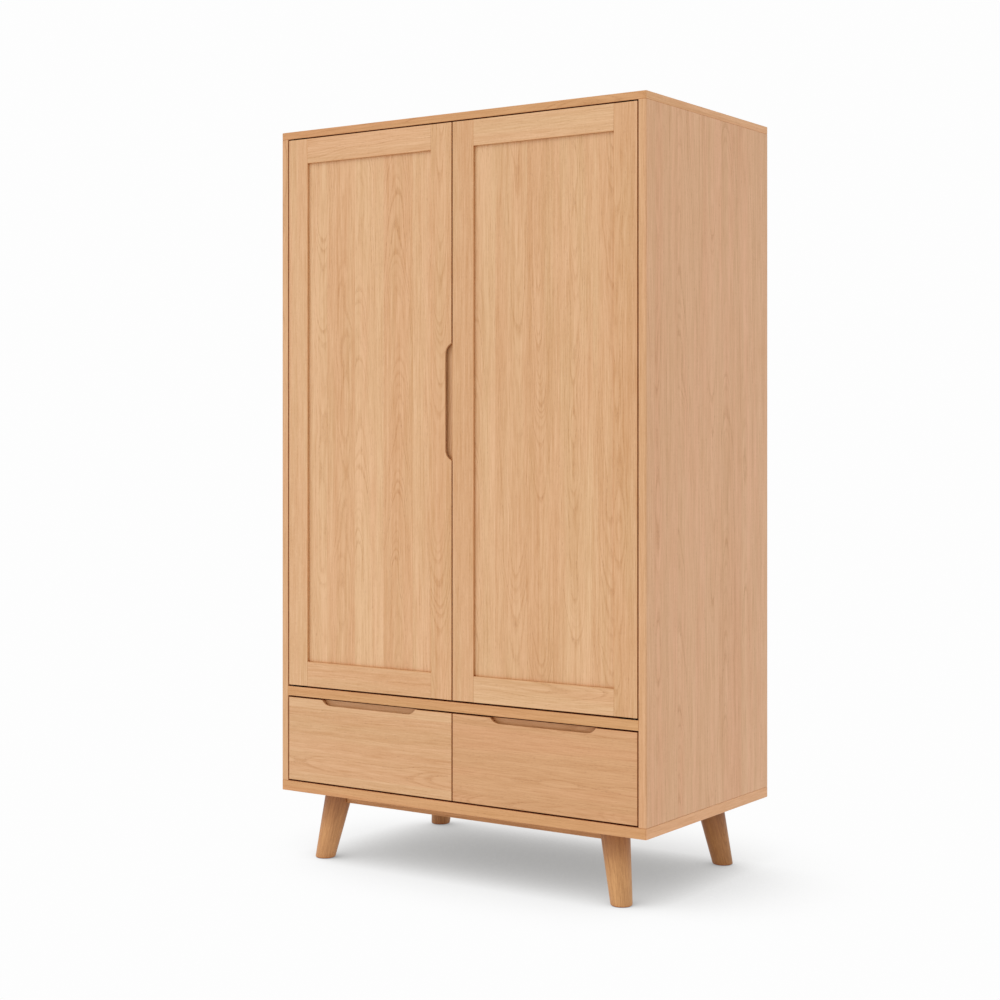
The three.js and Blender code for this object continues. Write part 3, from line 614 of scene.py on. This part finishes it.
def dress_drawers():
    for k, side in enumerate(SIDES):
        seed = DRAWER_SEED + SIDE_SEEDS * k
        name = f"{side}_drawer_front"
        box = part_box(name)
        finish_with(NODES[name], wood(name, "zyx", seed, SHADED_DRAWER_OAK[side], *box, DRAWER_LEAF))
        soften(NODES[name], *box, soft=0.7, tight=0.45, inner=0.0)
        for i, (part, order) in enumerate(DRAWER_BOX.items(), start=1):
            name = f"{side}_drawer_{part}"
            palette = PLY_WOOD if part == "bottom" else BOX_WOOD
            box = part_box(name)
            material = wood(name, order, seed + i, palette, *box, BOX_LEAF, BOX_ROUGH)
            finish_with(NODES[name], material)
            soften(NODES[name], *box, soft=0.6, tight=0.2)


# A word in a fitting's name, and the fitting's material.
FITTINGS = {
    "hanging_rail": RAIL_CHROME,
    "rail_socket": RAIL_CHROME,
    "pivot": HINGE_BRONZE,
    "hinge_leaf": HINGE_BRONZE,
    "strike_plate": HINGE_BRONZE,
    "leg_plate": PLATE_STEEL,
    "runner": RUNNER_ZINC,
    "door_catch": BROWN_PLASTIC,
}


def dress_fittings():
    for name, obj in NODES.items():
        for key, material in FITTINGS.items():
            if key in name:
                finish_with(obj, material)
                add_nodes(obj, CLEAN)
    soften(NODES["door_catch"], *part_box("door_catch"), soft=0.7)


# ---------------------------------------------------------------- making meshes

MESH_SMOOTH_ANGLE = math.radians(35)


def new_piece(name, bm, material, body, slot):
    """A piece of its own from bm, which is used up. It rides the body."""
    bmesh.ops.recalc_face_normals(bm, faces=bm.faces)
    for edge in bm.edges:
        shallow = edge.calc_face_angle(0.0) < MESH_SMOOTH_ANGLE
        edge.smooth = len(edge.link_faces) == 2 and shallow
    for face in bm.faces:
        face.smooth = True
    mesh = bpy.data.meshes.new(name)
    bm.to_mesh(mesh)
    bm.free()
    mesh.materials.append(material)
    obj = bpy.data.objects.new(name, mesh)
    bpy.context.scene.collection.objects.link(obj)
    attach(obj, body)
    return obj


def ring(centre, radius, sides, height):
    x, y = centre
    turns = (math.tau * i / sides for i in range(sides))
    return [Vector((x + radius * math.cos(t), y + radius * math.sin(t), height)) for t in turns]


def loft(bm, rings, matrix=Matrix.Identity(4)):
    """Joins rings of the same number of points, from the lowest up, and closes both ends."""
    loops = [[bm.verts.new(matrix @ point) for point in points] for points in rings]
    count = len(loops[0])
    for lower, upper in zip(loops, loops[1:]):
        for i in range(count):
            j = (i + 1) % count
            bm.faces.new((lower[i], lower[j], upper[j], upper[i]))
    bm.faces.new(loops[0][::-1])
    bm.faces.new(loops[-1])


# ---------------------------------------------------------------- legs

LEG_TOP_R = 34.6 * MM
LEG_FOOT_R = 24.8 * MM
LEG_TOP_CHAMFER = 0.6 * MM
LEG_SIDES = 96
LEG_BANDS = 8
LEG_SEED = 80.0
LEG_LEAF, LEG_ROUGH = 0.4, 0.46
ROWS = {"front": (-1, LEG_OAK, 0), "back": (1, SHADED_BACK_LEG_OAK, 3)}  # way out, palette, first seed
PLATE_R = 27 * MM
SPLAY = (30 * MM, 21 * MM)
FOOT_ROUND = 4 * MM
FOOT_STEPS = 7
GLIDE_T = 0.6 * MM
GLIDE_R = 19 * MM
GLIDE_SIDES = 48
GLIDE_PROFILE = ((0.0, -0.8), (0.4, 0.0), (1.0, 0.0))  # height and trim of the radius, in mm
leg_top_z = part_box("front_left_leg")[1].z
case_bottom_z = case_low.z


def leg_profile():
    """Heights and radii of a leg, from the foot up."""
    points = []
    for i in range(FOOT_STEPS + 1):
        t = math.pi / 2 * i / FOOT_STEPS
        height = GLIDE_T + FOOT_ROUND * (1 - math.cos(t))
        points.append((height, -FOOT_ROUND * (1 - math.sin(t))))
    first = GLIDE_T + FOOT_ROUND
    step = (leg_top_z - first) / LEG_BANDS
    points += [(first + step * i, 0.0) for i in range(1, LEG_BANDS)]
    points += [(leg_top_z - LEG_TOP_CHAMFER, 0.0), (leg_top_z, -LEG_TOP_CHAMFER)]
    taper = (LEG_TOP_R - LEG_FOOT_R) / case_bottom_z
    return [(z, LEG_FOOT_R + taper * z + trim) for z, trim in points]


def add_leg(row, side):
    name = f"{row}_{side}_leg"
    ahead, palette, first_seed = ROWS[row]
    out = SIDES[side]
    low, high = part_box(name + "_plate")
    top_x = out * (min(abs(low.x), abs(high.x)) + PLATE_R)
    top_y = ahead * (min(abs(low.y), abs(high.y)) + PLATE_R)
    lean = (out * SPLAY[0] / case_bottom_z, ahead * SPLAY[1] / case_bottom_z)

    def centre(z):
        drop = case_bottom_z - z
        return top_x + lean[0] * drop, top_y + lean[1] * drop

    bm = bmesh.new()
    loft(bm, [ring(centre(z), radius, LEG_SIDES, z) for z, radius in leg_profile()])
    low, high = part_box(name)
    middle = Vector((*centre((low.z + high.z) / 2), (low.z + high.z) / 2))
    half = (high - low) / 2
    seed = LEG_SEED + first_seed + (out > 0)
    ends = (middle - half, middle + half)
    material = wood(name + "_oak", "xyz", seed, palette, *ends, LEG_LEAF, LEG_ROUGH, shear=lean)
    leg = new_piece(name + "_turned", bm, material, "case", "leg_oak")
    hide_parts(name)

    bm = bmesh.new()
    profile = [(z * MM, GLIDE_R + trim * MM) for z, trim in GLIDE_PROFILE]
    loft(bm, [ring(centre(0.0), radius, GLIDE_SIDES, z) for z, radius in profile])
    new_piece(f"{row}_{side}_glide", bm, GREY_FELT, "case", "brown_plastic")


# ---------------------------------------------------------------- screws and small fittings

SCREW_SIDES = 24
# Height in mm and share of the radius.
SCREW_PROFILE = ((-1.1, 0.6), (-0.1, 1.0), (0.05, 1.0), (0.3, 0.84))
CROSS_PROFILE = ((0.3, 1.0), (-0.6, 0.9))
CROSS_ARM, CROSS_NOTCH = 0.58, 0.24  # reach of the cross's arms and of the notches between them
HINGE_SCREW_R = 3.2 * MM
HINGE_SCREW_STEPS = (6 * MM, 19 * MM)  # from the inner end of the leaf
RUNNER_SCREW_R = 3.0 * MM
RUNNER_SCREW_SHARES = (0.06, 0.45, 0.92)  # of the runner's length, from its front
RUNNER_WALL = 1.2 * MM
SMALL_SCREW_R = 2.9 * MM
BACK_SCREW_INSET = 4 * MM
BACK_SCREWS_UP, BACK_SCREWS_ACROSS = 9, 5
BACK_SCREW_SPAN = 0.72  # share of the back's half width that the level rows take
SOCKET_SCREW_DEPTH = 3 * MM
SOCKET_SCREW_INSET = 4.2 * MM
PIN_SIDES = 28
# Height and radius in mm.
PIN_PROFILE = ((-2.0, 2.5), (0.0, 2.5), (0.0, 3.6), (9.4, 3.6), (10.0, 3.0))
PIN_DROP = 3.7 * MM  # from the shelf's underside
PIN_INSET = 50 * MM
MAGNET_HALF = (8.0, 4.0)  # in mm
MAGNET_PROFILE = ((-3.0, 0.0), (0.15, 0.0), (0.3, 0.2))  # height and trim in mm
MAGNET_CORNER_R = 1.2 * MM
SLAB_CORNER_STEPS = 5


def facing(place, way):
    """Matrix that stands a shape built on the Z axis at place, turned to face the given way."""
    turn = Vector(way).to_track_quat("Z", "Y").to_matrix().to_4x4()
    return Matrix.Translation(Vector(place)) @ turn


def cross_ring(radius, height):
    """The outline of a driver's cross."""
    points = ring((0.0, 0.0), radius, SCREW_SIDES, height)
    arm = SCREW_SIDES // 4
    for i, point in enumerate(points):
        reach = CROSS_ARM if (i + 1) % arm < arm // 2 else CROSS_NOTCH
        point.x *= reach
        point.y *= reach
    return points


def add_screw(bm, place, way, radius):
    """A countersunk screw head with a cross recess."""
    rings = [ring((0.0, 0.0), radius * share, SCREW_SIDES, z * MM) for z, share in SCREW_PROFILE]
    rings += [cross_ring(radius * share, z * MM) for z, share in CROSS_PROFILE]
    loft(bm, rings, facing(place, way))


def hinge_screws():
    """Body, place and way of the screws in the fixed and the moving plate of every hinge."""
    beds = {"bottom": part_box("mid_panel")[1].z, "top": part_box("top_panel")[0].z}
    for side, out in SIDES.items():
        for level, up in (("bottom", 1), ("top", -1)):
            low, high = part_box(f"{side}_{level}_hinge_leaf")
            inner = min(abs(low.x), abs(high.x))
            y = (low.y + high.y) / 2
            for step in HINGE_SCREW_STEPS:
                x = out * (inner + step)
                yield "case", (x, y, beds[level]), (0, 0, up)
                yield f"{side}_door", (x, y, low.z if up > 0 else high.z), (0, 0, -up)


def runner_screws():
    for side in SIDES:
        for position in ("outer", "inner"):
            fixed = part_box(f"{side}_{position}_runner_fixed")
            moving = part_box(f"{side}_{position}_runner_moving")
            inwards = math.copysign(1, sum(c.x for c in moving) - sum(c.x for c in fixed))
            wall, web = (fixed[0].x, moving[1].x) if inwards > 0 else (fixed[1].x, moving[0].x)
            z = (fixed[0].z + fixed[1].z) / 2
            for share in RUNNER_SCREW_SHARES:
                y = fixed[0].y + share * (fixed[1].y - fixed[0].y)
                yield "case", (wall + inwards * RUNNER_WALL, y, z), (inwards, 0, 0)
                yield f"{side}_drawer", (web - inwards * RUNNER_WALL, y, z), (-inwards, 0, 0)


def spread(first, last, count):
    return [first + (last - first) * i / (count - 1) for i in range(count)]


def back_screws():
    low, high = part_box("back_panel")
    x = high.x - BACK_SCREW_INSET
    levels = [low.z + BACK_SCREW_INSET, high.z - BACK_SCREW_INSET]
    places = [(side * x, z) for side in (-1, 1) for z in spread(*levels, BACK_SCREWS_UP)]
    levels += [sum(c.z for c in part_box(name)) / 2 for name in ("mid_panel", "hat_shelf")]
    row = spread(-BACK_SCREW_SPAN * x, BACK_SCREW_SPAN * x, BACK_SCREWS_ACROSS)
    places += [(across, z) for z in levels for across in row]
    for across, z in places:
        yield "case", (across, high.y, z), (0, 1, 0)


def socket_screws():
    for side, out in SIDES.items():
        low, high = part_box(f"rail_socket_{side}")
        wall = max(abs(low.x), abs(high.x)) - SOCKET_SCREW_DEPTH
        for z in (low.z + SOCKET_SCREW_INSET, high.z - SOCKET_SCREW_INSET):
            yield "case", (out * wall, (low.y + high.y) / 2, z), (-out, 0, 0)


def add_screws():
    kinds = (
        ("hinge", hinge_screws(), HINGE_SCREW_R, HINGE_BRONZE, "hinge_steel"),
        ("runner", runner_screws(), RUNNER_SCREW_R, SCREW_STEEL, "plate_steel"),
        ("back_panel", back_screws(), SMALL_SCREW_R, SCREW_STEEL, "plate_steel"),
        ("socket", socket_screws(), SMALL_SCREW_R, SCREW_STEEL, "plate_steel"),
    )
    for kind, places, radius, material, slot in kinds:
        meshes = {}
        for body, place, way in places:
            add_screw(meshes.setdefault(body, bmesh.new()), place, way, radius)
        for body, bm in meshes.items():
            new_piece(f"{body}_{kind}_screws", bm, material, body, slot)


def add_shelf_pins():
    """Steel pins in the sides of the case under the hat shelf."""
    low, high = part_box("hat_shelf")
    rings = [ring((0.0, 0.0), radius * MM, PIN_SIDES, z * MM) for z, radius in PIN_PROFILE]
    bm = bmesh.new()
    for x, way in ((low.x, 1), (high.x, -1)):
        for y in (low.y + PIN_INSET, high.y - PIN_INSET):
            loft(bm, rings, facing((x, y, low.z - PIN_DROP), (way, 0, 0)))
    new_piece("shelf_pins", bm, RAIL_CHROME, "case", "rail_steel")


def slab_ring(half_x, half_y, radius, height):
    """A rectangle with round corners."""
    points = []
    for turn, (x, y) in enumerate(((1, 1), (-1, 1), (-1, -1), (1, -1))):
        for step in range(SLAB_CORNER_STEPS + 1):
            angle = math.pi / 2 * (turn + step / SLAB_CORNER_STEPS)
            across = x * (half_x - radius) + radius * math.cos(angle)
            along = y * (half_y - radius) + radius * math.sin(angle)
            points.append(Vector((across, along, height)))
    return points


def add_magnets():
    """The two magnets in the face of the catch, opposite the doors' strike plates."""
    low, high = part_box("door_catch")
    rings = []
    for z, trim in MAGNET_PROFILE:
        half_x, half_y = ((half - trim) * MM for half in MAGNET_HALF)
        rings.append(slab_ring(half_x, half_y, MAGNET_CORNER_R, z * MM))
    bm = bmesh.new()
    for x in (low.x / 2, high.x / 2):
        loft(bm, rings, facing((x, low.y, (low.z + high.z) / 2), (0, -1, 0)))
    new_piece("catch_magnets", bm, PLATE_STEEL, "case", "plate_steel")


# ---------------------------------------------------------------- camera, light and floor

EYE = Vector((2.5553, -3.8583, 1.0558))
YAW = math.radians(34.221)
LENS = 67.15
SENSOR = 36.0
SIDE_SHIFT = 0.0005
HORIZON_SHIFT = -0.0653
VIEW_REACH = 200.0
BACKDROP = 0.985
AMBIENT = 0.86
KEY = 0.95
KEY_SPREAD = math.radians(38)
KEY_COLOUR = (1.0, 0.985, 0.96)
KEY_AIM = Vector((0.62, 0.75, -1.0))
FLOOR_REACH = 30.0
FLOOR_DROP = 0.1 * MM
# Direction, reach and share of each part of the floor's light.
FLOOR_SKY = (((0.0, 0.0, 1.0), 0.5, 0.6), ((-0.7, -0.75, 1.0), 0.9, 0.4))
FLOOR_SAMPLES = 12
FLOOR_SHADE = (0.0, 0.85, 0.27, 1.0)
SHADE_TINT = (1.03, 1.0, 0.97, 1.0)
WHITE = (1.0, 1.0, 1.0, 1.0)


def add_camera():
    data = bpy.data.cameras.new("camera")
    data.lens = LENS
    data.sensor_width = SENSOR
    data.shift_x = SIDE_SHIFT
    data.shift_y = HORIZON_SHIFT
    data.clip_end = VIEW_REACH
    camera = bpy.data.objects.new("camera", data)
    camera.location = EYE
    camera.rotation_euler = (math.pi / 2, 0.0, YAW)
    bpy.context.scene.collection.objects.link(camera)
    bpy.context.scene.camera = camera


def add_floor():
    """A glowing studio floor, dimmed where the armoire shelters it."""
    r = FLOOR_REACH
    corners = [(x, y, -FLOOR_DROP) for x, y in ((-r, -r), (r, -r), (r, r), (-r, r))]
    mesh = bpy.data.meshes.new("floor")
    mesh.from_pydata(corners, [], [range(len(corners))])
    material = bpy.data.materials.new("studio_floor")
    material.use_nodes = True
    n = Nodes(material.node_tree)
    n.tree.nodes.remove(n.tree.nodes["Principled BSDF"])
    sky = 0.0
    for lean, reach, share in FLOOR_SKY:
        seen = n.shelter(reach, FLOOR_SAMPLES, Normal=n.vector("NORMALIZE", lean))
        sky = n.math("ADD", sky, n.scale(seen, share))
    lit = n.ramp(sky, *FLOOR_SHADE)
    tint = n.blend(lit, SHADE_TINT, WHITE)
    glow = n.add("ShaderNodeEmission", {"Color": tint, "Strength": n.scale(lit, BACKDROP)})
    n.feed(n.tree.nodes["Material Output"].inputs[0], glow.outputs[0])
    mesh.materials.append(material)
    floor = bpy.data.objects.new("floor", mesh)
    bpy.context.scene.collection.objects.link(floor)


def add_light():
    world = bpy.data.worlds.new("studio")
    world.use_nodes = True
    bpy.context.scene.world = world
    n = Nodes(world.node_tree)
    background = world.node_tree.nodes["Background"].inputs
    seen = n.add("ShaderNodeLightPath").outputs["Is Camera Ray"]
    n.feed(background["Color"], WHITE)
    n.feed(background["Strength"], n.ramp(seen, 0.0, 1.0, AMBIENT, BACKDROP))
    data = bpy.data.lights.new("key", "SUN")
    data.energy = KEY
    data.angle = KEY_SPREAD
    data.color = KEY_COLOUR
    key = bpy.data.objects.new("key", data)
    key.rotation_mode = "QUATERNION"
    key.rotation_quaternion = KEY_AIM.to_track_quat("-Z", "Y")
    bpy.context.scene.collection.objects.link(key)


dress_case()
dress_doors()
dress_drawers()
dress_fittings()
for leg_row in ROWS:
    for leg_side in SIDES:
        add_leg(leg_row, leg_side)
add_screws()
add_shelf_pins()
add_magnets()
add_camera()
add_floor()
add_light()
bpy.context.scene.view_settings.view_transform = "Standard"
